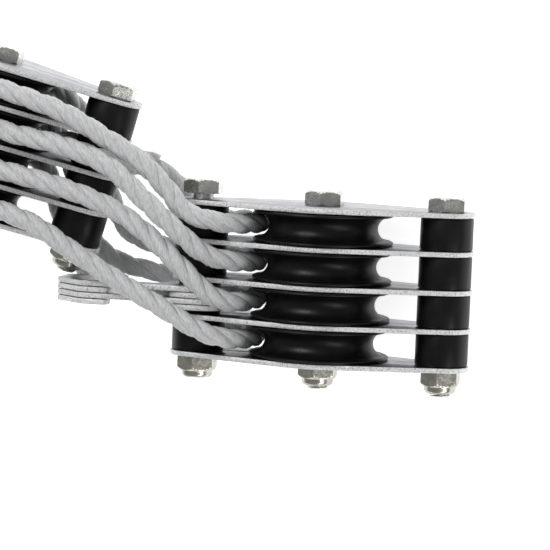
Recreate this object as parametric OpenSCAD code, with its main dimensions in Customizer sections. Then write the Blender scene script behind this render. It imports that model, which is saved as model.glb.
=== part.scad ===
// Gambrel hoist kit, stored flat: two four-sheave blocks, one reeved rope and a gambrel.
// The floor is z = 0 and +Z is up. Each block lies on its sheaves with its bolts along its own Y.

/* [Blocks] */
// Distance between neighbouring tie bolts
bolt_pitch = 45; // [42:0.5:52]
// Thickness of a cheek plate
plate_t = 1.8; // [1.5:0.1:2.5]
// Half width of a cheek plate at the axle
plate_mid_r = 24; // [22:0.5:25]
// Radius of a cheek plate's round ends
plate_end_r = 10; // [9.6:0.1:12]
// Clear gap between two cheek plates
gap = 12; // [11.5:0.1:13]

/* [Sheaves] */
// Radius of a sheave over its flanges
sheave_r = 25.3; // [24:0.1:26]
// Radius of the rope groove in section
groove_r = 4.3; // [4:0.1:4.4]
// Radius at the root of the groove
root_r = 19.6; // [19:0.1:20]
// Thickness of a sheave
sheave_t = 11.4; // [11:0.1:11.4]
// Outer radius of the sleeve that a sheave turns on
sleeve_r = 6; // [5.5:0.1:7]

/* [Fasteners] */
// Nominal diameter of the tie bolts
bolt_d = 8; // [7.8:0.1:8]
// Width across the flats of the heads and nuts
hex_af = 13; // [12.7:0.1:13]
// Height of a bolt head
head_h = 5.3; // [5:0.1:5.6]
// Height of a locking nut with its collar
nut_h = 8; // [7.5:0.1:8.5]
// Outer diameter of the nylon spacers
spacer_d = 19; // [17:0.5:20]

/* [Hooks] */
// Thickness of one hook plate
hook_t = 2; // [1.8:0.1:2.1]
// Half height of a hook plate
hook_r = 15; // [13:0.5:16]
// Reach of a hook from its pivot to its bow
hook_reach = 52; // [48:0.5:58]

/* [Gambrel] */
// Width of the gambrel over its load hooks
gambrel_span = 430; // [380:10:520]
// Diameter of the gambrel bar
bar_d = 10; // [8:0.5:12]

/* [Rope] */
// Diameter of the rope
rope_d = 7.5; // [7:0.1:7.6]
// Radius of the coil at the middle of its turns
coil_r = 70; // [70:2:80]

/* [Hidden] */
$fn = 96;

// Where the blocks lie. The kit's origin is under the middle of its box, without the rope.
kit_x = 148.34;
kit_y = -81.9;
lower_pos = [-129, 48];
lower_turn = -15;
lower_lift = 3.1;

// Stack of plates and gaps, counted from the bolt heads
layer = gap + plate_t;
stack_half = 2 * layer + plate_t / 2;
hole_r = bolt_d / 2 + 0.2;
head_proud = 2;
bolt_tail = 1.6;
washer_t = 1.6;
washer_d = 15.5;
run_fit = 0.05;
hook_play = 0.2;

function plate_z(n) = (3 - n) * layer;
function gap_z(n) = (2.5 - n) * layer;

// Parts of a block are drawn with the bolts along +Z and then laid down along +Y
module lay() rotate([-90, 0, 0]) children();
module place_upper() translate([kit_x, kit_y, sheave_r]) children();
module place_lower()
  translate([kit_x + lower_pos[0], kit_y + lower_pos[1], sheave_r + lower_lift])
    rotate([0, 0, lower_turn]) children();
module place(which) {
  if (which == "upper") place_upper() lay() children();
  if (which == "lower") place_lower() lay() children();
}

module ring(outer, inner, h) difference() {
  cylinder(r = outer, h = h, center = true);
  cylinder(r = inner, h = h + 1, center = true);
}

// ---- Cheek plates: two round ends and a round middle joined by straight sides ----
// The sides start a little inside the circles, so that they cross them at a clear angle
side_inset = 0.15;
module cheek_outline() {
  a = asin((plate_mid_r - plate_end_r) / bolt_pitch);
  side = [sin(a), cos(a)];
  r_end = plate_end_r - side_inset;
  r_mid = plate_mid_r - side_inset;
  end_x = bolt_pitch + r_end * side[0];
  circle(r = plate_mid_r);
  for (x = [-bolt_pitch, bolt_pitch]) translate([x, 0]) circle(r = plate_end_r);
  polygon([
    [end_x, r_end * side[1]], [r_mid * side[0], r_mid * side[1]],
    [-r_mid * side[0], r_mid * side[1]], [-end_x, r_end * side[1]],
    [-end_x, -r_end * side[1]], [-r_mid * side[0], -r_mid * side[1]],
    [r_mid * side[0], -r_mid * side[1]], [end_x, -r_end * side[1]]
  ]);
}

module cheek(which, n) color("silver") place(which)
  translate([0, 0, plate_z(n) - plate_t / 2]) difference() {
    linear_extrude(plate_t) cheek_outline();
    for (x = [-bolt_pitch, 0, bolt_pitch])
      translate([x, 0, -1]) cylinder(r = hole_r, h = plate_t + 2);
  }

// ---- Sheaves: U groove, raised hub and rim with a shallow recess in each face ----
module sheave(which, n) color("#161616") place(which) translate([0, 0, gap_z(n)])
  difference() {
    cylinder(r = sheave_r, h = sheave_t, center = true);
    cylinder(r = sleeve_r + run_fit, h = sheave_t + 1, center = true);
    rotate_extrude() translate([root_r + groove_r, 0]) circle(r = groove_r);
    for (s = [-1, 1]) translate([0, 0, s * sheave_t / 2]) ring(root_r - 2.1, 9.5, 2.4);
  }

module axle_sleeves(which) color("#9a9a96") place(which)
  for (n = [1 : 4]) translate([0, 0, gap_z(n)]) ring(sleeve_r, hole_r, gap);

// ---- Fasteners ----
module hex_block(h, top_r) intersection() {
  cylinder(d = hex_af / cos(30), h = h, $fn = 6);
  rotate_extrude() polygon([
    [0, 0], [hex_af / 2 + 0.4, 0], [hex_af / 2 + 1.2, 0.5],
    [hex_af / 2 + 1.2, h - 0.9], [top_r, h], [0, h]
  ]);
}

module tie_bolt(x, proud, shank_end) translate([x, 0, 0]) {
  translate([0, 0, stack_half + proud]) hex_block(head_h, hex_af / 2 - 0.2);
  translate([0, 0, shank_end]) cylinder(d = bolt_d, h = stack_half + proud - shank_end);
}

module axle_bolt(which) color("#a5a59c") place(which)
  tie_bolt(0, 0, -stack_half - nut_h - bolt_tail);
module tail_bolt(which) color("#a5a59c") place(which)
  tie_bolt(bolt_pitch, 0, -stack_half - nut_h - bolt_tail);
module hook_bolt(which) color("#a5a59c") place(which)
  tie_bolt(-bolt_pitch, head_proud, -stack_half - nut_h + head_proud / 2);

// A locking nut is a hexagon with a round collar for its nylon ring
module lock_nut() difference() {
  union() {
    mirror([0, 0, 1]) hex_block(nut_h * 0.72, hex_af / 2);
    translate([0, 0, -nut_h]) cylinder(d = hex_af - 1.6, h = nut_h / 2);
  }
  translate([0, 0, -nut_h - 1]) cylinder(d = bolt_d + 0.1, h = nut_h + 2);
}

module lock_nuts(which) color("#aaa897") place(which)
  for (x = [-bolt_pitch, 0, bolt_pitch]) translate([x, 0, -stack_half]) lock_nut();

// ---- Spacers and washers that set the gaps at the two ends ----
module tail_spacers(which) color("#1b1b1b") place(which)
  for (n = [1 : 4]) translate([bolt_pitch, 0, gap_z(n)]) ring(spacer_d / 2, hole_r, gap);

module hook_spacers(which) color("#1b1b1b") place(which)
  for (n = [1, 2, 4]) translate([-bolt_pitch, 0, gap_z(n)]) ring(spacer_d / 2, hole_r, gap);

module hook_washers(which) color("#1b1b1b") place(which) for (s = [-1, 1])
  translate([-bolt_pitch, 0, gap_z(3) + s * (gap - washer_t) / 2])
    ring(washer_d / 2, hole_r, washer_t);

// ---- Twin hooks: four plates on the hook bolt, two facing each way ----
// The eye is a slot behind a lip, and the mouth opens through one long side
lip_x = 31;
bow_corner = 42;
bow_flat = 6;
eye_r = 10;
eye_near = 22;
eye_far = 28;
mouth_near = 8;
mouth_in = 4;
hook_pitch = hook_t + hook_play;

module hook_outline() {
  circle(r = hook_r);
  polygon([
    [0, -hook_r], [0, hook_r], [-bow_corner, hook_r], [-hook_reach, bow_flat],
    [-hook_reach, -bow_flat], [-bow_corner, -hook_r]
  ]);
}

// Level 1 lies nearest the bolt heads; a plate with turn = 1 has its mouth up
module hook_plate(which, level, turn) color("#a8a8a8") place(which)
  translate([-bolt_pitch, 0, gap_z(3) + (2.5 - level) * hook_pitch - hook_t / 2])
    difference() {
      linear_extrude(hook_t) hook_outline();
      translate([0, 0, -1]) cylinder(r = bolt_d / 2 + run_fit, h = hook_t + 2);
      for (x = [-eye_near, -eye_far]) translate([x, 0, -1]) cylinder(r = eye_r, h = hook_t + 2);
      translate([-eye_far, -eye_r, -1]) cube([eye_far - eye_near, 2 * eye_r, hook_t + 2]);
      translate([-lip_x, turn > 0 ? -hook_r - 1 : mouth_in, -1])
        cube([lip_x - mouth_near, hook_r + 1 - mouth_in, hook_t + 2]);
    }

// ---- Gambrel: a bent bar with an up-turned hook at each end, welded to a ring ----
ring_r = 15;
ring_rod_r = 4;
gambrel_drop = 13.3;
arm_sweep = 60;
tip_hook_r = 14;
tip_len = 16;
knuckle = 0.6;
eye_rod_x = -bolt_pitch - 30;
bar_x = -ring_r - ring_rod_r - bar_d / 2 + 1;

// The ring's rod turns inside the hook eye, and the arms' ends lie on the floor
module place_gambrel() place_lower()
  translate([eye_rod_x, gap_z(3), 0]) rotate([0, -gambrel_drop, 0])
    translate([-ring_r, 0, 0]) children();

module rod(from, to, r) {
  v = to - from;
  translate(from) rotate([0, acos(v[2] / norm(v)), atan2(v[1], v[0])])
    cylinder(r = r, h = norm(v));
}

// One arm runs out to side s and ends in a half-round hook with a tapered tip
module gambrel_arm(s) {
  r = bar_d / 2;
  arm_end = [bar_x - arm_sweep, s * (gambrel_span / 2 - tip_hook_r - r), 0];
  rod([bar_x, 0, 0], arm_end, r);
  translate(arm_end) sphere(r = r + knuckle);
  translate(arm_end + [tip_hook_r, 0, 0]) intersection() {
    rotate_extrude() translate([tip_hook_r, 0]) circle(r = r);
    translate([0, s * 2 * tip_hook_r, 0]) cube(4 * tip_hook_r, center = true);
  }
  translate(arm_end + [2 * tip_hook_r, 0, 0]) rotate([s * 90, 0, 0]) {
    translate([0, 0, -1]) cylinder(r = r - 0.1, h = tip_len + 1);
    translate([0, 0, tip_len]) cylinder(r1 = r - 0.1, r2 = r / 3, h = tip_len);
  }
}

module gambrel_bar() color("#8f9193") place_gambrel() difference() {
  union() {
    gambrel_arm(1);
    gambrel_arm(-1);
    translate([bar_x, 0, 0]) sphere(r = bar_d / 2 + knuckle);
  }
  gambrel_ring_solid();
}

module gambrel_ring_solid() rotate_extrude() translate([ring_r, 0]) circle(r = ring_rod_r);
module gambrel_ring() color("#8f9193") place_gambrel() gambrel_ring_solid();

// ---- Rope ----
// Route points are measured from the upper axle in X and Y and from the floor in Z
lane = [gap_z(1), gap_z(2), gap_z(3), gap_z(4)];
bight_r = 21;
wrap_r = 24.6;
ground = 3.8;

// Quarter turn under the hook end of the upper block, from the floor up into the groove
function bight(n) = [for (a = [-90, -45, 0])
  [-bolt_pitch + bight_r * cos(a), lane[n - 1], sheave_r + bight_r * sin(a)]];

// A point in the lower block's own axes: x along the block, y along its bolts
function in_lower(x, y, z) = [
  lower_pos[0] + x * cos(lower_turn) - y * sin(lower_turn),
  lower_pos[1] + x * sin(lower_turn) + y * cos(lower_turn), z];

// Half turn round a lower sheave, from its top over its far side to angle last
function wrap(n, last) = [for (a = [90 : 30 : last])
  in_lower(wrap_r * cos(a), lane[n - 1], sheave_r + lower_lift + wrap_r * sin(a))];

from_eye = [[-67.7, 38.6, 11.7], [-62, 34, 7.5], [-54, 27, 4.2]];
over_1 = [[-30, 21, 40], [-37, 22, 45], [-46, 25, 47], [-53, 33, 48.5], [-62, 42, 51],
  [-76, 50.5, 53], [-90, 58, 54], [-105, 63, 54]];
under_2 = [[-105, 63, ground], [-93, 46, ground], [-86, 26, ground], [-78, 13, ground],
  [-62, 8, ground]];
over_2 = [[-30, 7.5, 40], [-38, 10, 47], [-48, 19, 53.5], [-60, 30, 56.5], [-72, 40, 57],
  [-90, 46.5, 56], [-109, 49.8, 54]];
under_3 = [[-109, 49.8, ground], [-99, 29, ground], [-93, 10, ground], [-82, 2, ground],
  [-64, -2, ground]];
over_3 = [[-31, -7, 41], [-37, -4, 45.5], [-46, 5, 49.5], [-57, 15, 51], [-70, 24, 52],
  [-90, 31.5, 54], [-113, 36.6, 54]];
under_4 = [[-113, 36.6, ground], [-106, 20, ground], [-99, 3, ground], [-88, -7, ground],
  [-68, -10, ground], [-55, -15, ground]];
over_4 = [[-30, -20.5, 40], [-38, -18, 46], [-52, -10.5, 48], [-67, -2.5, 49], [-85, 8, 51],
  [-100, 17.5, 53.5], [-116, 23.1, 54]];
to_coil = [[-158.5, 34.5, 17], [-164, 36, 8], [-175, 38.8, ground], [-188, 39.4, ground],
  [-198, 31, ground], [-202, 14, ground], [-200, -14, ground], [-192, -44, ground],
  [-176, -76, 4.5]];
coil_entry = [-152, -106, 6];

run_route = concat(from_eye, bight(1), over_1, wrap(1, 270), under_2, bight(2), over_2,
  wrap(2, 270), under_3, bight(3), over_3, wrap(3, 270), under_4, bight(4), over_4,
  wrap(4, 180));
lead_route = concat([run_route[len(run_route) - 1]], to_coil, [coil_entry]);

// Sweep of a round section along a list of points, as one closed polyhedron
function unit(v) = v / norm(v);
function along(p, i) = unit(p[min(i + 1, len(p) - 1)] - p[max(i - 1, 0)]);
function square_to(v, t) = unit(v - (v * t) * t);
function side_vectors(p) = [for (i = 0, s = square_to([0, 1, 0], along(p, 0)); i < len(p);
  i = i + 1, s = i < len(p) ? square_to(s, along(p, i)) : s) s];
module tube(p, r, sides = 8) {
  side = side_vectors(p);
  points = [for (i = [0 : len(p) - 1], k = [0 : sides - 1])
    p[i] + r * (cos(k * 360 / sides) * side[i]
      + sin(k * 360 / sides) * cross(along(p, i), side[i]))];
  last = (len(p) - 1) * sides;
  faces = concat(
    [[for (k = [0 : sides - 1]) k]],
    [for (i = [0 : len(p) - 2], k = [0 : sides - 1]) let (n = (k + 1) % sides)
      [i * sides + k, (i + 1) * sides + k, (i + 1) * sides + n, i * sides + n]],
    [[for (k = [sides - 1 : -1 : 0]) last + k]]);
  polyhedron(points, faces, convexity = 10);
}

// The reeved run goes from the dead end to the last lower sheave; the lead goes on to the coil
module rope_run() color("#d8d8d4") translate([kit_x, kit_y, 0]) tube(run_route, rope_d / 2);
module rope_lead() color("#d8d8d4") translate([kit_x, kit_y, 0]) tube(lead_route, rope_d / 2);

// Spliced eye round a tail spacer of the lower block, with its served throat
eye_ring_r = 13.9;
throat_len = 9;
module rope_eye() color("#d8d8d4") place_lower() translate([bolt_pitch, gap_z(2), 0])
  rotate([-90, 0, 0]) {
    rotate_extrude() translate([eye_ring_r, 0]) circle(d = rope_d);
    rotate([0, 90, 45]) translate([0, 0, eye_ring_r]) cylinder(d = rope_d + 2, h = throat_len);
  }

coil_pos = [-215, -170];
coil_w = 48;
coil_h = 46;
tie_t = 1.2;
tie_w = 18;
tie_play = 0.3;
module place_coil() translate([kit_x + coil_pos[0], kit_y + coil_pos[1], 0]) children();

module rope_coil() color("#d8d8d4") place_coil() rotate_extrude()
  translate([coil_r - coil_w / 2, tie_t + tie_play]) square([coil_w, coil_h]);

module coil_tie() color("#202020") place_coil()
  translate([-coil_r, 0, (coil_h + 2 * (tie_t + tie_play)) / 2]) difference() {
    cube([coil_w + 4, tie_w, coil_h + 2 * (tie_t + tie_play)], center = true);
    cube([coil_w + 4 - 2 * tie_t, tie_w + 1, coil_h + 2 * tie_play], center = true);
  }

// Stopper knot at the hauling end, lying on the coil
knot_r = 10;
module end_knot() color("#d8d8d4") place_coil()
  translate([0, -coil_r, tie_t + tie_play + coil_h + knot_r]) sphere(r = knot_r);

cheek("upper", 1);  // upper_cheek_1
cheek("upper", 2);  // upper_cheek_2
cheek("upper", 3);  // upper_cheek_3
cheek("upper", 4);  // upper_cheek_4
cheek("upper", 5);  // upper_cheek_5
sheave("upper", 1);  // upper_sheave_1
sheave("upper", 2);  // upper_sheave_2
sheave("upper", 3);  // upper_sheave_3
sheave("upper", 4);  // upper_sheave_4
axle_bolt("upper");  // upper_axle_bolt
hook_bolt("upper");  // upper_hook_bolt
tail_bolt("upper");  // upper_tail_bolt
lock_nuts("upper");  // upper_lock_nuts
axle_sleeves("upper");  // upper_axle_sleeves
tail_spacers("upper");  // upper_tail_spacers
hook_spacers("upper");  // upper_hook_spacers
hook_washers("upper");  // upper_hook_washers
hook_plate("upper", 1, 1);  // upper_hook_a_outer
hook_plate("upper", 3, 1);  // upper_hook_a_inner
hook_plate("upper", 2, -1);  // upper_hook_b_inner
hook_plate("upper", 4, -1);  // upper_hook_b_outer
cheek("lower", 1);  // lower_cheek_1
cheek("lower", 2);  // lower_cheek_2
cheek("lower", 3);  // lower_cheek_3
cheek("lower", 4);  // lower_cheek_4
cheek("lower", 5);  // lower_cheek_5
sheave("lower", 1);  // lower_sheave_1
sheave("lower", 2);  // lower_sheave_2
sheave("lower", 3);  // lower_sheave_3
sheave("lower", 4);  // lower_sheave_4
axle_bolt("lower");  // lower_axle_bolt
hook_bolt("lower");  // lower_hook_bolt
tail_bolt("lower");  // lower_tail_bolt
lock_nuts("lower");  // lower_lock_nuts
axle_sleeves("lower");  // lower_axle_sleeves
tail_spacers("lower");  // lower_tail_spacers
hook_spacers("lower");  // lower_hook_spacers
hook_washers("lower");  // lower_hook_washers
hook_plate("lower", 1, 1);  // lower_hook_a_outer
hook_plate("lower", 3, 1);  // lower_hook_a_inner
hook_plate("lower", 2, -1);  // lower_hook_b_inner
hook_plate("lower", 4, -1);  // lower_hook_b_outer
gambrel_bar();
gambrel_ring();
rope_run();
rope_lead();
rope_eye();
rope_coil();
coil_tie();
end_knot();
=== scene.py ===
# The looks of the gambrel hoist kit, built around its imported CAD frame. Units are metres.
import math
import random

import bmesh
import bpy
from mathutils import Matrix, Vector


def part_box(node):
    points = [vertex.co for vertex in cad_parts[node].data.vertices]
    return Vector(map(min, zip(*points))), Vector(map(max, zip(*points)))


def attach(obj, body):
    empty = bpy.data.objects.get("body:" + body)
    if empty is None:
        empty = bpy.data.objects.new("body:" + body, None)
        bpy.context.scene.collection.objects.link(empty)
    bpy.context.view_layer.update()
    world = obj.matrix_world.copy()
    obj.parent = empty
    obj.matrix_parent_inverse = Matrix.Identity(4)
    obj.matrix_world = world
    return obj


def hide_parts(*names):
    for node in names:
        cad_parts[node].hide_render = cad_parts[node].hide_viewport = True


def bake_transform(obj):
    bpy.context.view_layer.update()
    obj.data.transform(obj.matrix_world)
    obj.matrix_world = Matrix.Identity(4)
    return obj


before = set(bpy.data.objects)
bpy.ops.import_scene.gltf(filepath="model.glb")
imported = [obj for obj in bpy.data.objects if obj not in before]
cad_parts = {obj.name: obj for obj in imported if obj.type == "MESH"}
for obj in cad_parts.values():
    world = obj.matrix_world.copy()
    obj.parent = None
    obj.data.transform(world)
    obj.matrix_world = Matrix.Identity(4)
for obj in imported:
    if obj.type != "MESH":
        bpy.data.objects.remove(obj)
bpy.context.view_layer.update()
random.seed(7)
MM = 0.001
TAU = 2 * math.pi


# ---- Places and sizes, read from the frame ----
def middle(node):
    lo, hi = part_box(node)
    return (lo + hi) / 2


def size(node):
    lo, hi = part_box(node)
    return hi - lo


UPPER = middle("upper_cheek_3")
LOWER = middle("lower_cheek_3")
LOWER_TURN = math.radians(-15)
PITCH = middle("upper_tail_bolt").x - UPPER.x
LAYER = middle("upper_cheek_2").y - UPPER.y
PLATE_T = size("upper_cheek_3").y
GAP = LAYER - PLATE_T
STACK_HALF = 2 * LAYER + PLATE_T / 2
END_R = size("upper_cheek_3").x / 2 - PITCH
MID_R = size("upper_cheek_3").z / 2
SHEAVE_R = size("upper_sheave_1").z / 2
SHEAVE_T = size("upper_sheave_1").y
SPACER_R = size("upper_tail_spacers").z / 2
WASHER_R = size("upper_hook_washers").z / 2
SLEEVE_R = size("upper_axle_sleeves").z / 2
HOOK_R = size("upper_hook_a_outer").z / 2
HOOK_T = size("upper_hook_a_outer").y
HOOK_REACH = size("upper_hook_a_outer").x - HOOK_R
HOOK_PITCH = (middle("upper_hook_a_outer").y - middle("upper_hook_a_inner").y) / 2
BOLT_R = 4.0 * MM
HEX_AF = 13.0 * MM
HEAD_H = 5.3 * MM
NUT_H = 8.0 * MM
HEAD_PROUD = 2.0 * MM
BOLT_TAIL = 1.6 * MM
THREAD_PITCH = 1.25 * MM
ROPE_D = 7.5 * MM
ROPE_LAY = 27 * MM
# A strand's radius is the rope's diameter over this, and it is this much wider than high
STRANDS_ACROSS = 3.7
STRAND_FLATNESS = 1.18


def gap_z(n):
    return (2.5 - n) * LAYER


def plate_z(n):
    return (3 - n) * LAYER


LAY_DOWN = Matrix.Rotation(-math.pi / 2, 4, "X")
BLOCKS = {
    "upper": Matrix.Translation(UPPER) @ LAY_DOWN,
    "lower": Matrix.Translation(LOWER) @ Matrix.Rotation(LOWER_TURN, 4, "Z") @ LAY_DOWN,
}


# ---- Camera ----
def make_camera():
    yaw, lift, roll = math.radians(11.92), math.radians(5.25), math.radians(2.42)
    distance = 1.080
    back = Vector((math.sin(yaw) * math.cos(lift), math.sin(lift), math.cos(yaw) * math.cos(lift)))
    right = Vector((0, 1, 0)).cross(back).normalized()
    up = back.cross(right)
    cam_x = right * math.cos(roll) + up * math.sin(roll)
    cam_y = up * math.cos(roll) - right * math.sin(roll)
    data = bpy.data.cameras.new("camera")
    data.sensor_width = 36
    data.lens = 196
    data.shift_x = -0.0841
    data.shift_y = 0.0158
    data.clip_start, data.clip_end = 0.05, 20
    camera = bpy.data.objects.new("camera", data)
    bpy.context.scene.collection.objects.link(camera)
    axes = Matrix((cam_x, cam_y, back)).transposed().to_4x4()
    camera.matrix_world = Matrix.Translation(UPPER + back * distance) @ axes
    bpy.context.scene.camera = camera


make_camera()


# ---- Materials ----
def new_material(name):
    mat = bpy.data.materials.new(name)
    mat.use_nodes = True
    tree = mat.node_tree
    return mat, tree, tree.nodes["Principled BSDF"]


def add(tree, kind, **values):
    made = tree.nodes.new(kind)
    for key, value in values.items():
        if key in made.inputs:
            made.inputs[key].default_value = value
        else:
            setattr(made, key, value)
    return made


def object_coords(tree, scale):
    coords = add(tree, "ShaderNodeTexCoord")
    mapping = add(tree, "ShaderNodeMapping")
    mapping.inputs["Scale"].default_value = scale
    tree.links.new(coords.outputs["Object"], mapping.inputs["Vector"])
    return mapping.outputs["Vector"]


def noise(tree, vector, scale, detail=4.0, rough=0.55):
    made = add(tree, "ShaderNodeTexNoise", Scale=scale, Detail=detail, Roughness=rough)
    tree.links.new(vector, made.inputs["Vector"])
    return made.outputs["Fac"]


def ramp(tree, fac, stops):
    made = add(tree, "ShaderNodeValToRGB")
    elements = made.color_ramp.elements
    while len(elements) < len(stops):
        elements.new(0.5)
    for element, (place, value) in zip(elements, stops):
        element.position = place
        grey = (value, value, value) if isinstance(value, (int, float)) else value
        element.color = (*grey, 1)
    tree.links.new(fac, made.inputs["Fac"])
    return made.outputs["Color"]


def bump(tree, shader, height, distance, strength=1.0, under=None):
    made = add(tree, "ShaderNodeBump", Strength=strength, Distance=distance)
    tree.links.new(height, made.inputs["Height"])
    if under is not None:
        tree.links.new(under, made.inputs["Normal"])
    tree.links.new(made.outputs["Normal"], shader.inputs["Normal"])
    return made.outputs["Normal"]


def zinc(name, dark, light, rough_low, rough_high):
    """Zinc-plated sheet: faint spangle, rolling lines and smudges."""
    mat, tree, shader = new_material(name)
    shader.inputs["Metallic"].default_value = 1.0
    vector = object_coords(tree, (1, 1, 1))
    spangle = add(tree, "ShaderNodeTexVoronoi", Scale=420.0)
    tree.links.new(vector, spangle.inputs["Vector"])
    blotch = noise(tree, vector, 160.0, 5.0)
    mix = add(tree, "ShaderNodeMix", data_type="FLOAT")
    mix.inputs[0].default_value = 0.35
    tree.links.new(blotch, mix.inputs[2])
    tree.links.new(spangle.outputs["Color"], mix.inputs[3])
    tree.links.new(ramp(tree, mix.outputs[0], [(0.3, dark), (0.75, light)]), shader.inputs["Base Color"])
    smudge = noise(tree, vector, 70.0, 6.0, 0.7)
    tree.links.new(ramp(tree, smudge, [(0.3, rough_low), (0.7, rough_high)]), shader.inputs["Roughness"])
    lines = noise(tree, object_coords(tree, (60, 900, 900)), 1.0, 2.0)
    first = bump(tree, shader, lines, 0.00004, 0.35)
    bump(tree, shader, noise(tree, vector, 900.0, 3.0), 0.00005, 0.4, first)
    return mat


def sheared_edge():
    """A sheared edge: bright torn flecks between darker pits."""
    mat, tree, shader = new_material("sheared_edge")
    shader.inputs["Metallic"].default_value = 0.4
    vector = object_coords(tree, (1, 1, 1))
    fleck = noise(tree, vector, 1500.0, 3.0, 0.8)
    tree.links.new(ramp(tree, fleck, [(0.32, 0.36), (0.48, 0.78), (0.64, 0.98)]), shader.inputs["Base Color"])
    tree.links.new(ramp(tree, fleck, [(0.3, 0.55), (0.7, 0.2)]), shader.inputs["Roughness"])
    torn = noise(tree, vector, 1100.0, 5.0, 0.8)
    bump(tree, shader, torn, 0.00035, 0.9)
    return mat


def plated_fastener(name, dark, light):
    """Plated forged steel with a slight cast, scale marks and handling scratches."""
    mat, tree, shader = new_material(name)
    shader.inputs["Metallic"].default_value = 1.0
    vector = object_coords(tree, (1, 1, 1))
    cloud = noise(tree, vector, 260.0, 6.0, 0.65)
    tree.links.new(ramp(tree, cloud, [(0.3, dark), (0.7, light)]), shader.inputs["Base Color"])
    scuff = noise(tree, vector, 500.0, 4.0)
    tree.links.new(ramp(tree, scuff, [(0.3, 0.16), (0.75, 0.34)]), shader.inputs["Roughness"])
    bump(tree, shader, noise(tree, vector, 700.0, 5.0, 0.6), 0.00012, 0.5)
    return mat


def black_nylon():
    mat, tree, shader = new_material("black_nylon")
    shader.inputs["Specular IOR Level"].default_value = 0.22
    vector = object_coords(tree, (1, 1, 1))
    cloud = noise(tree, vector, 180.0, 5.0)
    tree.links.new(ramp(tree, cloud, [(0.35, 0.003), (0.7, 0.007)]), shader.inputs["Base Color"])
    scuff = noise(tree, object_coords(tree, (300, 40, 300)), 1.0, 5.0, 0.7)
    tree.links.new(ramp(tree, scuff, [(0.35, 0.30), (0.75, 0.50)]), shader.inputs["Roughness"])
    bump(tree, shader, noise(tree, vector, 1600.0, 3.0), 0.00004, 0.5)
    return mat


def rope_fibre():
    """Twisted white fibre: fine lines along each strand, from the strand's own UV."""
    mat, tree, shader = new_material("rope_fibre")
    shader.inputs["Subsurface Weight"].default_value = 0.12
    shader.inputs["Subsurface Radius"].default_value = (0.0012, 0.0012, 0.0012)
    shader.inputs["Specular IOR Level"].default_value = 0.5
    uv = add(tree, "ShaderNodeUVMap", uv_map="strand")
    mapping = add(tree, "ShaderNodeMapping")
    mapping.inputs["Scale"].default_value = (5, 22, 1)
    mapping.inputs["Rotation"].default_value = (0, 0, math.radians(4))
    tree.links.new(uv.outputs["UV"], mapping.inputs["Vector"])
    lines = noise(tree, mapping.outputs["Vector"], 1.0, 4.0, 0.65)
    whites = [(0.3, (0.42, 0.425, 0.43)), (0.55, (0.65, 0.655, 0.66)), (0.75, (0.80, 0.80, 0.80))]
    tree.links.new(ramp(tree, lines, whites), shader.inputs["Base Color"])
    tree.links.new(ramp(tree, lines, [(0.35, 0.62), (0.7, 0.38)]), shader.inputs["Roughness"])
    bump(tree, shader, lines, 0.0003, 0.6)
    return mat


def woven_strap():
    mat, tree, shader = new_material("woven_strap")
    shader.inputs["Sheen Weight"].default_value = 0.3
    vector = object_coords(tree, (1, 1, 1))
    wave = add(tree, "ShaderNodeTexWave", Scale=320.0, Distortion=1.5, bands_direction="Y")
    wave.inputs["Detail Scale"].default_value = 3.0
    tree.links.new(vector, wave.inputs["Vector"])
    tree.links.new(ramp(tree, wave.outputs["Fac"], [(0.2, 0.012), (0.8, 0.04)]), shader.inputs["Base Color"])
    wear = noise(tree, vector, 300.0)
    tree.links.new(ramp(tree, wear, [(0.3, 0.75), (0.7, 0.9)]), shader.inputs["Roughness"])
    bump(tree, shader, wave.outputs["Fac"], 0.0003, 0.7)
    return mat


def floor_material():
    mat, tree, shader = new_material("pale_floor")
    vector = object_coords(tree, (1, 1, 1))
    cloud = noise(tree, vector, 3.0)
    tree.links.new(ramp(tree, cloud, [(0.3, 0.90), (0.7, 0.93)]), shader.inputs["Base Color"])
    shader.inputs["Roughness"].default_value = 0.8
    shader.inputs["Emission Color"].default_value = (1, 1, 1, 1)
    shader.inputs["Emission Strength"].default_value = 0.8
    return mat


LOOKS = {
    "plate": zinc("zinc_sheet", (0.22, 0.23, 0.25), (0.36, 0.37, 0.39), 0.26, 0.42),
    "edge": sheared_edge(),
    "hook": zinc("hook_plate", (0.32, 0.33, 0.35), (0.50, 0.51, 0.53), 0.24, 0.40),
    "bolt": plated_fastener("bolt_plating", (0.46, 0.46, 0.43), (0.78, 0.78, 0.73)),
    "nut": plated_fastener("nut_plating", (0.34, 0.33, 0.28), (0.58, 0.57, 0.51)),
    "bar": plated_fastener("bar_plating", (0.40, 0.41, 0.42), (0.62, 0.63, 0.64)),
    "nylon": black_nylon(),
    "rope": rope_fibre(),
    "strap": woven_strap(),
}


# ---- Mesh builders ----
def finish_mesh(name, bm, place, looks, angle=35):
    bmesh.ops.recalc_face_normals(bm, faces=bm.faces)
    mesh = bpy.data.meshes.new(name)
    bm.to_mesh(mesh)
    bm.free()
    mesh.transform(place)
    for look in looks:
        mesh.materials.append(LOOKS[look])
    obj = bpy.data.objects.new(name, mesh)
    bpy.context.scene.collection.objects.link(obj)
    mesh.shade_smooth()
    mesh.set_sharp_from_angle(angle=math.radians(angle))
    return obj


def grid_faces(bm, rows, closed_rows):
    """Quads between neighbouring rings of vertices; closed_rows joins the last ring to the first."""
    count = len(rows[0])
    last = len(rows) if closed_rows else len(rows) - 1
    for i in range(last):
        a, b = rows[i], rows[(i + 1) % len(rows)]
        for k in range(count):
            n = (k + 1) % count
            bm.faces.new((a[k], a[n], b[n], b[k]))


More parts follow.
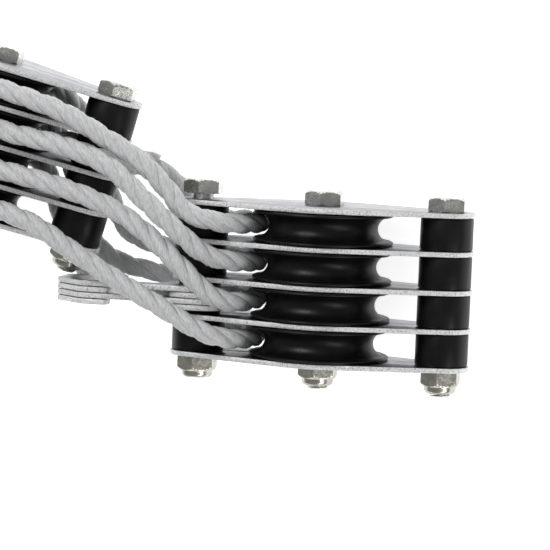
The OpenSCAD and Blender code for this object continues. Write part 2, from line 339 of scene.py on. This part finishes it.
def add_lathe(bm, profile, offset=(0, 0, 0), segments=72):
    """Turns a closed outline of (radius, z) points about the z axis into a ring-shaped solid."""
    rows = []
    for r, z in profile:
        rows.append([bm.verts.new((offset[0] + r * math.cos(TAU * k / segments),
                                   offset[1] + r * math.sin(TAU * k / segments),
                                   offset[2] + z)) for k in range(segments)])
    grid_faces(bm, rows, True)


def add_column(bm, levels, radius, offset=(0, 0, 0), segments=72):
    """A solid column: radius(angle, z) gives its outline at each level, and both ends are capped."""
    rows = []
    for z in levels:
        rows.append([bm.verts.new((offset[0] + radius(TAU * k / segments, z) * math.cos(TAU * k / segments),
                                   offset[1] + radius(TAU * k / segments, z) * math.sin(TAU * k / segments),
                                   offset[2] + z)) for k in range(segments)])
    grid_faces(bm, rows, False)
    bm.faces.new(rows[0][::-1])
    bm.faces.new(rows[-1])


def arc(cx, cy, r, start, end, steps):
    """Points on an arc, angles in degrees."""
    return [(cx + r * math.cos(math.radians(start + (end - start) * i / steps)),
             cy + r * math.sin(math.radians(start + (end - start) * i / steps))) for i in range(steps + 1)]


def plate(name, outlines, thickness, place, z, looks, bevel=0.25 * MM):
    """A flat plate from closed outlines (the first is outside, the others are holes), with broken edges."""
    curve = bpy.data.curves.new(name + "_curve", "CURVE")
    curve.dimensions = "2D"
    curve.fill_mode = "BOTH"
    curve.extrude = thickness / 2 - bevel
    curve.bevel_depth = bevel
    curve.bevel_resolution = 1
    curve.offset = -bevel
    for outline in outlines:
        spline = curve.splines.new("POLY")
        spline.points.add(len(outline) - 1)
        for point, (x, y) in zip(spline.points, outline):
            point.co = (x, y, 0, 1)
        spline.use_cyclic_u = True
    holder = bpy.data.objects.new(name + "_curve", curve)
    bpy.context.scene.collection.objects.link(holder)
    bpy.context.view_layer.update()
    mesh = bpy.data.meshes.new_from_object(holder.evaluated_get(bpy.context.evaluated_depsgraph_get()))
    bm = bmesh.new()
    bm.from_mesh(mesh)
    bpy.data.objects.remove(holder)
    bpy.data.curves.remove(curve)
    bpy.data.meshes.remove(mesh)
    bmesh.ops.remove_doubles(bm, verts=bm.verts, dist=1e-6)
    bm.normal_update()
    for face in bm.faces:
        face.material_index = 0 if abs(face.normal.z) > 0.9 else 1
    return finish_mesh(name, bm, place @ Matrix.Translation((0, 0, z)), looks)


def own(obj, body, slot, *nodes):
    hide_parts(*nodes)
    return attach(obj, body)


# ---- Rope ----
EYE_LEAD = [(-0.0677, 0.0386, 0.0117), (-0.062, 0.034, 0.0075), (-0.054, 0.027, 0.0042)]
OVER_1 = [(-0.030, 0.021, 0.040), (-0.037, 0.022, 0.045), (-0.046, 0.025, 0.047), (-0.053, 0.033, 0.0485),
          (-0.062, 0.042, 0.051), (-0.076, 0.0505, 0.053), (-0.090, 0.058, 0.054), (-0.105, 0.063, 0.054)]
GROUND = 0.0038
UNDER_2 = [(-0.105, 0.063, GROUND), (-0.093, 0.046, GROUND), (-0.086, 0.026, GROUND),
           (-0.078, 0.013, GROUND), (-0.062, 0.008, GROUND)]
OVER_2 = [(-0.030, 0.0075, 0.040), (-0.038, 0.010, 0.047), (-0.048, 0.019, 0.0535), (-0.060, 0.030, 0.0565),
          (-0.072, 0.040, 0.057), (-0.090, 0.0465, 0.056), (-0.109, 0.0498, 0.054)]
UNDER_3 = [(-0.109, 0.0498, GROUND), (-0.099, 0.029, GROUND), (-0.093, 0.010, GROUND),
           (-0.082, 0.002, GROUND), (-0.064, -0.002, GROUND)]
OVER_3 = [(-0.031, -0.007, 0.041), (-0.037, -0.004, 0.0455), (-0.046, 0.005, 0.0495), (-0.057, 0.015, 0.051),
          (-0.070, 0.024, 0.052), (-0.090, 0.0315, 0.054), (-0.113, 0.0366, 0.054)]
UNDER_4 = [(-0.113, 0.0366, GROUND), (-0.106, 0.020, GROUND), (-0.099, 0.003, GROUND),
           (-0.088, -0.007, GROUND), (-0.068, -0.010, GROUND), (-0.055, -0.015, GROUND)]
OVER_4 = [(-0.030, -0.0205, 0.040), (-0.038, -0.018, 0.046), (-0.052, -0.0105, 0.048),
          (-0.067, -0.0025, 0.049), (-0.085, 0.008, 0.051), (-0.100, 0.0175, 0.0535), (-0.116, 0.0231, 0.054)]
TO_COIL = [(-0.1585, 0.0345, 0.017), (-0.164, 0.036, 0.008), (-0.175, 0.0388, GROUND),
           (-0.188, 0.0394, GROUND), (-0.198, 0.031, GROUND), (-0.202, 0.014, GROUND),
           (-0.200, -0.014, GROUND), (-0.192, -0.044, GROUND), (-0.176, -0.076, 0.0045)]
COIL_ENTRY = (-0.152, -0.106, 0.006)
# Radii of the rope's quarter turns at the upper block's hook end (BIGHT_R) and of its wraps round the lower
# block's axle (WRAP_R)
BIGHT_R = 0.021
WRAP_R = 0.0246
ORIGIN = Vector((UPPER.x, UPPER.y, 0))


def bight(n):
    quarter = arc(-PITCH, UPPER.z, BIGHT_R, -90, 0, 2)
    return [(x, gap_z(n), z) for x, z in quarter]


def wrap(n, last):
    points = []
    for a in range(90, last + 1, 30):
        x, y = WRAP_R * math.cos(math.radians(a)), gap_z(n)
        turned = Matrix.Rotation(LOWER_TURN, 3, "Z") @ Vector((x, y, 0))
        points.append((LOWER.x - UPPER.x + turned.x, LOWER.y - UPPER.y + turned.y,
                       LOWER.z + WRAP_R * math.sin(math.radians(a))))
    return points


ROUTE = (EYE_LEAD + bight(1) + OVER_1 + wrap(1, 270) + UNDER_2 + bight(2) + OVER_2 + wrap(2, 270)
         + UNDER_3 + bight(3) + OVER_3 + wrap(3, 270) + UNDER_4 + bight(4) + OVER_4 + wrap(4, 180) + TO_COIL
         + [COIL_ENTRY])


def smooth_line(points, spacing):
    """A centripetal Catmull-Rom line through the points, resampled at about the spacing."""
    points = [Vector(p) for p in points]
    kept = [points[0]]
    for p in points[1:]:
        if (p - kept[-1]).length > 1.5 * MM:
            kept.append(p)
    ends = [kept[0] * 2 - kept[1]] + kept + [kept[-1] * 2 - kept[-2]]
    fine = []
    for i in range(1, len(ends) - 2):
        p0, p1, p2, p3 = ends[i - 1:i + 3]
        t1 = (p1 - p0).length ** 0.5
        t2 = t1 + (p2 - p1).length ** 0.5
        t3 = t2 + (p3 - p2).length ** 0.5
        steps = 12
        for k in range(steps):
            t = t1 + (t2 - t1) * k / steps
            a1 = p0 * ((t1 - t) / t1) + p1 * (t / t1)
            a2 = p1 * ((t2 - t) / (t2 - t1)) + p2 * ((t - t1) / (t2 - t1))
            a3 = p2 * ((t3 - t) / (t3 - t2)) + p3 * ((t - t2) / (t3 - t2))
            b1 = a1 * ((t2 - t) / t2) + a2 * (t / t2)
            b2 = a2 * ((t3 - t) / (t3 - t1)) + a3 * ((t - t1) / (t3 - t1))
            fine.append(b1 * ((t2 - t) / (t2 - t1)) + b2 * ((t - t1) / (t2 - t1)))
    fine.append(kept[-1])
    return resample(fine, spacing)


def resample(line, spacing):
    total = sum((b - a).length for a, b in zip(line, line[1:]))
    count = max(2, round(total / spacing))
    step = total / count
    made, along, i = [line[0]], 0.0, 0
    for n in range(1, count):
        goal = n * step
        while along + (line[i + 1] - line[i]).length < goal:
            along += (line[i + 1] - line[i]).length
            i += 1
        made.append(line[i].lerp(line[i + 1], (goal - along) / (line[i + 1] - line[i]).length))
    made.append(line[-1])
    return made


def line_length(line):
    return sum((b - a).length for a, b in zip(line, line[1:]))


COIL_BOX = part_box("rope_coil")
COIL = (COIL_BOX[0] + COIL_BOX[1]) / 2
COIL_W = 48 * MM
COIL_R = (COIL_BOX[1].x - COIL_BOX[0].x) / 2 - COIL_W / 2
COLUMNS, ROWS = 6, 6
TURN_STEPS = 40


def coil_line():
    """Turns laid side by side and on each other, from the outside bottom turn to the top."""
    step_r = (COIL_W - ROPE_D) / (COLUMNS - 1)
    floor_z = COIL_BOX[0].z + ROPE_D / 2
    step_z = (COIL_BOX[1].z - ROPE_D / 2 - floor_z) / (ROWS - 1)
    cells = []
    for row in range(ROWS):
        columns = range(COLUMNS - 1, -1, -1) if row % 2 == 0 else range(COLUMNS)
        cells += [(COIL_R - COIL_W / 2 + ROPE_D / 2 + c * step_r, floor_z + row * step_z) for c in columns]
    start = math.radians(45)
    points = []
    for i, (r, z) in enumerate(cells):
        nxt = cells[min(i + 1, len(cells) - 1)]
        wobble = [random.uniform(-0.5, 0.5) * MM for _ in range(4)]
        for k in range(TURN_STEPS):
            share = max(0.0, (k / TURN_STEPS - 0.8) / 0.2)
            blend = share * share * (3 - 2 * share)
            angle = start - TAU * k / TURN_STEPS
            ripple = wobble[0] * math.sin(2 * angle + 9 * wobble[1] / MM) + wobble[2] * math.sin(3 * angle)
            radius = r + (nxt[0] - r) * blend + 0.5 * ripple
            points.append(Vector((COIL.x + radius * math.cos(angle), COIL.y + radius * math.sin(angle),
                                  z + (nxt[1] - z) * blend + 0.3 * abs(ripple))))
    return points


def frames_along(line):
    """A side direction at each point, carried along without twist."""
    sides = []
    tangent = (line[1] - line[0]).normalized()
    side = tangent.orthogonal().normalized()
    for i in range(len(line)):
        tangent = (line[min(i + 1, len(line) - 1)] - line[max(i - 1, 0)]).normalized()
        side = (side - tangent * side.dot(tangent)).normalized()
        sides.append((tangent, side, tangent.cross(side)))
    return sides


def add_strands(bm, line, sides, lay=ROPE_LAY, diameter=ROPE_D, start=0.0):
    """Three round strands twisted about the line. Each vertex carries (length, angle) in the strand UV."""
    uv = bm.loops.layers.uv.get("strand") or bm.loops.layers.uv.new("strand")
    strand_r = diameter / STRANDS_ACROSS
    offset = diameter / 2 - strand_r
    frames = frames_along(line)
    along = [0.0]
    for a, b in zip(line, line[1:]):
        along.append(along[-1] + (b - a).length)
    for s in range(3):
        rows = []
        for i, p in enumerate(line):
            tangent, side, other = frames[i]
            phase = start + TAU * (along[i] / lay + s / 3)
            out = side * math.cos(phase) + other * math.sin(phase)
            turn = (other * math.cos(phase) - side * math.sin(phase)) * (TAU * offset / lay)
            axis = (tangent + turn).normalized()
            centre = p + out * offset
            across = axis.cross(out).normalized()
            rows.append([bm.verts.new(centre + out * (strand_r * math.cos(TAU * k / sides))
                                      + across * (strand_r * STRAND_FLATNESS * math.sin(TAU * k / sides)))
                         for k in range(sides)])
        for i in range(len(rows) - 1):
            for k in range(sides):
                n = (k + 1) % sides
                face = bm.faces.new((rows[i][k], rows[i][n], rows[i + 1][n], rows[i + 1][k]))
                corners = [(i, k), (i, k + 1), (i + 1, k + 1), (i + 1, k)]
                for loop, (row, turn_k) in zip(face.loops, corners):
                    loop[uv].uv = (along[row] * 100 + s * 7.3, turn_k / sides)
        bm.faces.new(rows[0][::-1])
        bm.faces.new(rows[-1])


RUN = [ORIGIN + p for p in smooth_line(ROUTE, 1.6 * MM)]
COIL_LINE = coil_line()


def make_rope():
    run_end = RUN[-1]
    joined = smooth_line([RUN[-12], RUN[-6], run_end] + COIL_LINE[2:5], 3 * MM)
    past = min(range(len(joined)), key=lambda i: (joined[i] - run_end).length) + 1
    tail = resample([run_end] + joined[past:] + COIL_LINE[5:], 4.4 * MM)
    # The tail's strands go on from the run's at the same angle
    _, side, other = frames_along(RUN)[-1]
    phase = TAU * line_length(RUN) / ROPE_LAY
    out = side * math.cos(phase) + other * math.sin(phase)
    first = frames_along(tail)[0]
    bm = bmesh.new()
    add_strands(bm, RUN, 10)
    add_strands(bm, tail, 7, start=math.atan2(out.dot(first[2]), out.dot(first[1])))
    rope = finish_mesh("rope", bm, Matrix.Identity(4), ["rope"], 80)
    line = RUN + tail[1:]
    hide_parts("rope_run", "rope_lead", "rope_coil")
    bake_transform(rope)
    return rope, line


def make_eye():
    """Spliced eye round the lower block's tail spacer, with its thicker throat."""
    place = BLOCKS["lower"] @ Matrix.Translation((PITCH, 0, gap_z(2)))
    radius = 13.9 * MM
    ring = [Vector((radius * math.cos(TAU * k / 60), radius * math.sin(TAU * k / 60), 0)) for k in range(61)]
    bm = bmesh.new()
    add_strands(bm, ring, 10, lay=25 * MM)
    out = Vector((math.cos(math.radians(45)), math.sin(math.radians(45)), 0))
    throat = [out * (radius - 2 * MM + 1.0 * MM * k) for k in range(13)]
    add_strands(bm, throat, 10, lay=20 * MM, diameter=ROPE_D + 2 * MM)
    return own(finish_mesh("eye_splice", bm, place, ["rope"], 80), "lower_block", "rope", "rope_eye")


def make_knot():
    """Overhand stopper knot at the hauling end, lying on the coil."""
    place = Matrix.Translation(middle("end_knot"))
    size_k = 3.0 * MM
    line = []
    for k in range(91):
        t = TAU * k / 90 * 0.93 + 0.2
        line.append(Vector((size_k * (math.sin(t) + 2 * math.sin(2 * t)),
                            size_k * (math.cos(t) - 2 * math.cos(2 * t)),
                            -1.15 * size_k * math.sin(3 * t))))
    bm = bmesh.new()
    add_strands(bm, line, 9, lay=24 * MM, diameter=ROPE_D * 0.96)
    return own(finish_mesh("stopper_knot", bm, place, ["rope"], 80), "lower_block", "rope", "end_knot")


def make_tie():
    """A strap round the coil's section, pulled in a little, with a free end."""
    lo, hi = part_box("coil_tie")
    centre = (lo + hi) / 2
    half_x, half_z, corner = (hi.x - lo.x) / 2 - 0.7 * MM, (hi.z - lo.z) / 2 - 0.7 * MM, 7 * MM
    ring = []
    for cx, cz, start in ((1, 1, 0), (-1, 1, 90), (-1, -1, 180), (1, -1, 270)):
        ring += arc(cx * (half_x - corner), cz * (half_z - corner), corner, start, start + 90, 8)
    thick, half_w = 1.2 * MM, (hi.y - lo.y) / 2
    section = [(-half_w, -thick / 2), (half_w, -thick / 2), (half_w, 0.3 * thick), (half_w * 0.92, thick / 2),
               (-half_w * 0.92, thick / 2), (-half_w, 0.3 * thick)]
    bm = bmesh.new()
    rows = []
    for x, z in ring:
        normal = Vector((x, z)).normalized()
        rows.append([bm.verts.new((x + normal.x * o, w, z + normal.y * o)) for w, o in section])
    grid_faces(bm, rows, True)
    tab = [(half_x + 0.9 * MM, z * MM) for z in range(-8, 15, 2)]
    tab_w, tab_t = half_w * 0.96, thick * 0.8
    rows = []
    for x, z in tab:
        rows.append([bm.verts.new((x + o, w, z)) for w, o in
                     ((-tab_w, 0), (tab_w, 0), (tab_w, tab_t), (-tab_w, tab_t))])
    grid_faces(bm, rows, False)
    bm.faces.new(rows[0][::-1])
    bm.faces.new(rows[-1])
    strap = finish_mesh("tie_strap", bm, Matrix.Translation(centre), ["strap"], 40)
    return own(strap, "lower_block", "tie_strap", "coil_tie")


rope, rope_line = make_rope()
rope_parts = [make_eye(), make_knot(), make_tie()]


# ---- Blocks ----
def cheek_outline():
    lean = math.degrees(math.asin((MID_R - END_R) / PITCH))
    points = arc(PITCH, 0, END_R, -90 + lean, 90 - lean, 20)
    points += arc(0, 0, MID_R, 90 - lean, 90 + lean, 12)
    points += arc(-PITCH, 0, END_R, 90 + lean, 270 - lean, 20)
    points += arc(0, 0, MID_R, 270 - lean, 270 + lean, 12)
    return points


def hole(x, r):
    return arc(x, 0, r, 360, 360 / 28, 27)


def rounded_ring(inner, outer, half, edge):
    """Closed lathe outline of a tube with rounded outer edges."""
    points = [(inner, -half + edge / 2), (inner + edge / 2, -half)]
    points += arc(outer - edge, edge - half, edge, -90, 0, 3)
    points += arc(outer - edge, half - edge, edge, 0, 90, 3)
    points += [(inner + edge / 2, half), (inner, half - edge / 2)]
    return points


def sheave_profile():
    """Half a U-groove sheave in section, mirrored: rim tips rounded, a recess between rim land and hub."""
    half = SHEAVE_T / 2
    root, groove, rim = 19.6 * MM, 4.3 * MM, SHEAVE_R
    tip_r = 0.55 * MM
    centre = root + groove
    upper = [(centre + groove * math.cos(math.radians(a)), groove * math.sin(math.radians(a)))
             for a in range(180, 84, -8)]
    upper += [(rim - tip_r * 1.6, groove + 0.03 * MM)]
    tip_x, tip_z = rim - tip_r, half - tip_r - 0.1 * MM
    upper += [(tip_x + tip_r * math.cos(math.radians(a)), tip_z + tip_r * math.sin(math.radians(a)))
              for a in (-70, -30, 0, 30, 60, 90)]
    upper += [(18.3 * MM, half - 0.1 * MM), (17.7 * MM, half - 0.5 * MM), (17.2 * MM, half - 1.2 * MM),
              (10.6 * MM, half - 1.2 * MM), (10.0 * MM, half - 0.6 * MM), (9.5 * MM, half - 0.05 * MM),
              (6.5 * MM, half), (6.05 * MM, half - 0.4 * MM)]
    lower = [(r, -z) for r, z in upper[:0:-1]]
    return upper + lower


def hex_radius(angle):
    return HEX_AF / 2 / math.cos((angle + math.pi / 6) % (math.pi / 3) - math.pi / 6)


def head_levels(base, height, sign):
    shares = (0, 0.06, 0.12, 0.5, 0.72, 0.8, 0.87, 0.93, 0.975, 1)
    return [base + sign * height * s for s in shares]


def add_hex(bm, x, base, height, sign, crown):
    """A hexagon whose corners are cut by a chamfer cone towards its free end."""
    def radius(angle, z):
        share = abs(z - base) / height
        cone = crown + (HEX_AF / 2 * 1.165 - crown) * min(1.0, max(0.0, 1 - share) / 0.22)
        foot = HEX_AF / 2 * (1.03 + 2 * share)
        return min(hex_radius(angle), cone, foot)
    add_column(bm, head_levels(base, height, sign), radius, (x, 0, 0), 120)


def add_shank(bm, x, bottom, top, thread_top):
    """The bolt's shank, with a real helical thread near its end and a chamfered tip."""
    depth = 0.55 * MM
    steps = round((thread_top - bottom) / THREAD_PITCH) * 8
    levels = [bottom + (thread_top - bottom) * i / steps for i in range(steps + 1)]
    levels += [thread_top + 0.6 * MM, top]

    def radius(angle, z):
        if z > thread_top:
            return BOLT_R
        phase = (z / THREAD_PITCH - angle / TAU) % 1
        ridge = abs(2 * phase - 1)
        tip = BOLT_R - 0.9 * MM + (z - bottom)
        return min(BOLT_R - depth * (1 - ridge), tip)
    add_column(bm, levels, radius, (x, 0, 0), 48)


def make_bolt(block, name, x, proud, end):
    bm = bmesh.new()
    add_hex(bm, x, STACK_HALF + proud, HEAD_H, 1, HEX_AF / 2 - 0.5 * MM)
    add_shank(bm, x, end, STACK_HALF + proud + 0.5 * MM, -STACK_HALF - 0.2 * MM)
    node = f"{block}_{name}"
    piece = finish_mesh(node + "_look", bm, BLOCKS[block], ["bolt"], 25)
    return own(piece, block + "_block", "bolt_steel", node)


def make_nuts(block):
    """Hexagon lock nuts with a round collar; the nylon ring that the collar holds is not built."""
    bm = bmesh.new()
    for x in (-PITCH, 0, PITCH):
        base = -STACK_HALF
        hex_h = NUT_H * 0.70
        levels = head_levels(base, hex_h, -1)
        add_ring_hex(bm, x, levels, base, hex_h)
        collar, inner = (HEX_AF - 1.6 * MM) / 2, BOLT_R + 0.15 * MM
        top = base - NUT_H
        lip = 1.1 * MM
        outline = [(inner, base - hex_h + 0.3 * MM), (collar + 0.3 * MM, base - hex_h + 0.3 * MM),
                   (collar + 0.1 * MM, base - hex_h - 0.3 * MM)]
        outline += [(collar - lip + lip * math.cos(math.radians(a)),
                     top + lip - lip * math.sin(math.radians(a))) for a in (0, 20, 40, 60, 80, 90)]
        outline += [(inner + 0.9 * MM, top), (inner + 0.5 * MM, top + 0.5 * MM), (inner, top + 0.9 * MM)]
        add_lathe(bm, outline, (x, 0, 0), 60)
    piece = finish_mesh(block + "_lock_nuts_look", bm, BLOCKS[block], ["nut"], 25)
    return own(piece, block + "_block", "nut_steel", block + "_lock_nuts")


def add_ring_hex(bm, x, levels, base, height):
    segments = 120
    inner = BOLT_R + 0.12 * MM
    rows = []

    def outer(angle, z):
        share = abs(z - base) / height
        crown = HEX_AF / 2 - 0.2 * MM
        cone = crown + (HEX_AF / 2 * 1.165 - crown) * min(1.0, max(0.0, 1 - share) / 0.2)
        return min(hex_radius(angle), cone, HEX_AF / 2 * (1.04 + 2 * share))
    for z in levels:
        rows.append([bm.verts.new((x + outer(TAU * k / segments, z) * math.cos(TAU * k / segments),
                                   outer(TAU * k / segments, z) * math.sin(TAU * k / segments), z))
                     for k in range(segments)])
    for z in (levels[-1], levels[0]):
        rows.append([bm.verts.new((x + inner * math.cos(TAU * k / segments),
                                   inner * math.sin(TAU * k / segments), z)) for k in range(segments)])
    grid_faces(bm, rows, True)


def make_tubes(block, name, look, slot, x, places, inner, outer, half, edge):
    bm = bmesh.new()
    for z in places:
        add_lathe(bm, rounded_ring(inner, outer, half, edge), (x, 0, z), 72)
    node = f"{block}_{name}"
    piece = finish_mesh(node + "_look", bm, BLOCKS[block], [look], 40)
    return own(piece, block + "_block", slot, node)


def hook_outlines(turn):
    """Outline of a hook plate about its pivot, with its eye slot and the mouth on side turn."""
    eye, near, far, lip, mouth, inner = 10 * MM, 22 * MM, 28 * MM, 31 * MM, 8 * MM, 4 * MM
    corner, flat = 42 * MM, 6 * MM
    on_lip = math.degrees(math.asin((lip - far) / eye))
    on_back = math.degrees(math.asin(inner / eye))
    at_mouth = math.degrees(math.asin(mouth / HOOK_R))
    points = arc(0, 0, HOOK_R, -90 - at_mouth, 90, 40)
    points += [(-corner + 2 * MM, HOOK_R), (-corner, HOOK_R - 0.8 * MM), (-HOOK_REACH, flat),
               (-HOOK_REACH, -flat), (-corner, -HOOK_R + 0.8 * MM), (-corner + 2 * MM, -HOOK_R),
               (-lip - 1 * MM, -HOOK_R), (-lip, -HOOK_R + 1 * MM)]
    points += arc(-far, 0, eye, 270 - on_lip, 90, 24)
    points += arc(-near, 0, eye, 90, -on_back, 14)
    points += [(-mouth - 0.8 * MM, -inner), (-mouth, -inner - 0.8 * MM)]
    outline = [(x, y * -turn) for x, y in points]
    return outline if turn < 0 else outline[::-1]


def make_hook(block, name, level, turn):
    node = f"{block}_{name}"
    z = gap_z(3) + (2.5 - level) * HOOK_PITCH
    place = BLOCKS[block] @ Matrix.Translation((-PITCH, 0, 0))
    piece = plate(node + "_look", [hook_outlines(turn), hole(0, BOLT_R + 0.05 * MM)], HOOK_T, place, z,
                  ["hook", "edge"], 0.3 * MM)
    body = node.rsplit("_", 1)[0]
    return own(piece, body, "hook_steel", node)


def make_block(block):
    body = block + "_block"
    for n in range(1, 6):
        node = f"{block}_cheek_{n}"
        holes = [hole(x, BOLT_R + 0.2 * MM) for x in (-PITCH, 0, PITCH)]
        piece = plate(node + "_look", [cheek_outline()] + holes, PLATE_T, BLOCKS[block], plate_z(n),
                      ["plate", "edge"])
        own(piece, body, "zinc_plate", node)
    for n in range(1, 5):
        node = f"{block}_sheave_{n}"
        bm = bmesh.new()
        add_lathe(bm, sheave_profile(), (0, 0, gap_z(n)), 128)
        own(finish_mesh(node + "_look", bm, BLOCKS[block], ["nylon"], 28), node, "black_nylon", node)
    make_bolt(block, "axle_bolt", 0, 0, -STACK_HALF - NUT_H - BOLT_TAIL)
    make_bolt(block, "tail_bolt", PITCH, 0, -STACK_HALF - NUT_H - BOLT_TAIL)
    make_bolt(block, "hook_bolt", -PITCH, HEAD_PROUD, -STACK_HALF - NUT_H + HEAD_PROUD / 2)
    make_nuts(block)
    bore = BOLT_R + 0.2 * MM
    half = GAP / 2
    gaps = [gap_z(n) for n in (1, 2, 3, 4)]
    make_tubes(block, "axle_sleeves", "bar", "sleeve_steel", 0, gaps, bore, SLEEVE_R, half, 0.2 * MM)
    make_tubes(block, "tail_spacers", "nylon", "black_nylon", PITCH, gaps, bore, SPACER_R,
               half - 0.02 * MM, 0.7 * MM)
    make_tubes(block, "hook_spacers", "nylon", "black_nylon", -PITCH, [gap_z(n) for n in (1, 2, 4)], bore,
               SPACER_R, half - 0.02 * MM, 0.7 * MM)
    washer_t = 1.6 * MM
    make_tubes(block, "hook_washers", "nylon", "black_nylon", -PITCH,
               [gap_z(3) + s * (GAP - washer_t) / 2 for s in (-1, 1)], bore, WASHER_R, washer_t / 2, 0.3 * MM)
    for name, level, turn in (("hook_a_outer", 1, 1), ("hook_a_inner", 3, 1), ("hook_b_inner", 2, -1),
                              ("hook_b_outer", 4, -1)):
        make_hook(block, name, level, turn)


make_block("upper")
make_block("lower")


# ---- Gambrel ----
def tube_along(bm, line, radius, sides=20):
    """A round bar along a line; radius(share) lets its ends taper."""
    frames = frames_along(line)
    rows = []
    for i, p in enumerate(line):
        r = radius(i / (len(line) - 1))
        rows.append([bm.verts.new(p + frames[i][1] * (r * math.cos(TAU * k / sides))
                                  + frames[i][2] * (r * math.sin(TAU * k / sides))) for k in range(sides)])
    grid_faces(bm, rows, False)
    bm.faces.new(rows[0][::-1])
    bm.faces.new(rows[-1])


RING_R, RING_ROD = 15 * MM, 4 * MM
DROP = math.radians(13.3)
ROD_FROM_PIVOT = 30 * MM
GAMBREL = (Matrix.Translation(LOWER) @ Matrix.Rotation(LOWER_TURN, 4, "Z")
           @ Matrix.Translation((-PITCH - ROD_FROM_PIVOT, gap_z(3), 0)) @ Matrix.Rotation(-DROP, 4, "Y")
           @ Matrix.Translation((-RING_R, 0, 0)))


def gambrel_line():
    bar_r, hook_r, sweep, tip = 5 * MM, 14 * MM, 60 * MM, 16 * MM
    apex = -RING_R - RING_ROD - bar_r + 1 * MM
    reach = 215 * MM - hook_r - bar_r
    half = [Vector((apex, 0, 0)), Vector((apex - 1.5 * MM, 6 * MM, 0))]
    steps = 24
    for i in range(1, steps):
        half.append(Vector((apex - sweep * (i / steps), reach * i / steps, 0)))
    centre = apex - sweep + hook_r
    bend = 14
    for i in range(bend + 1):
        a = math.pi - math.pi * i / bend
        half.append(Vector((centre + hook_r * math.cos(a), reach + hook_r * math.sin(a), 0)))
    for i in range(1, 9):
        half.append(Vector((centre + hook_r, reach - 2 * tip * i / 8, 0)))
    other = [Vector((p.x, -p.y, p.z)) for p in half[:0:-1]]
    return resample(other + half, 2.2 * MM)


def make_gambrel():
    line = gambrel_line()
    total = line_length(line)
    taper = 17 * MM

    def radius(share):
        from_end = min(share, 1 - share) * total
        return 5 * MM * (0.36 + 0.64 * min(1.0, from_end / taper) ** 0.8)
    bm = bmesh.new()
    tube_along(bm, line, radius, 24)
    bead = []
    for i in range(25):
        a = math.pi * (-1 + 2 * i / 24) * 0.5
        wave = 0.35 * MM * math.sin(i * 2.1)
        bead.append(Vector((-RING_R - 3.4 * MM + 1.2 * MM * math.cos(a), 6.5 * MM * math.sin(a),
                            2.9 * MM + wave)))
    for flip in (1, -1):
        tube_along(bm, [Vector((p.x, p.y, p.z * flip)) for p in bead], lambda share: 1.5 * MM, 10)
    own(finish_mesh("gambrel_bar_look", bm, GAMBREL, ["bar"], 60), "gambrel", "gambrel_steel", "gambrel_bar")
    ring = bmesh.new()
    rows = []
    for i in range(72):
        a = TAU * i / 72
        rows.append([ring.verts.new(((RING_R + RING_ROD * math.cos(TAU * k / 20)) * math.cos(a),
                                     (RING_R + RING_ROD * math.cos(TAU * k / 20)) * math.sin(a),
                                     RING_ROD * math.sin(TAU * k / 20))) for k in range(20)])
    grid_faces(ring, rows, True)
    piece = finish_mesh("gambrel_ring_look", ring, GAMBREL, ["bar"], 60)
    own(piece, "gambrel", "gambrel_steel", "gambrel_ring")


make_gambrel()


# ---- Floor and light ----
def make_stage():
    bm = bmesh.new()
    bmesh.ops.create_grid(bm, x_segments=8, y_segments=8, size=6)
    mesh = bpy.data.meshes.new("floor")
    bm.to_mesh(mesh)
    bm.free()
    mesh.materials.append(floor_material())
    floor = bpy.data.objects.new("floor", mesh)
    floor.location.z = -0.0002
    bpy.context.scene.collection.objects.link(floor)


def area_light(name, place, aim, width, height, power):
    data = bpy.data.lights.new(name, "AREA")
    data.shape = "RECTANGLE"
    data.size, data.size_y = width, height
    data.energy = power
    light = bpy.data.objects.new(name, data)
    light.location = ORIGIN + Vector(place)
    light.rotation_euler = (Vector(aim) - Vector(place)).to_track_quat("-Z", "Y").to_euler()
    bpy.context.scene.collection.objects.link(light)


make_stage()
area_light("key", (-0.6, 0.9, 1.2), (0, 0, 0), 0.6, 0.6, 13)
area_light("fill", (0.9, -0.9, 0.9), (0, 0, 0), 1.2, 0.5, 7)
world = bpy.data.worlds.new("studio")
world.use_nodes = True
background = world.node_tree.nodes["Background"]
background.inputs["Color"].default_value = (1, 1, 1, 1)
background.inputs["Strength"].default_value = 0.32
bpy.context.scene.world = world
bpy.context.scene.view_settings.view_transform = "Standard"
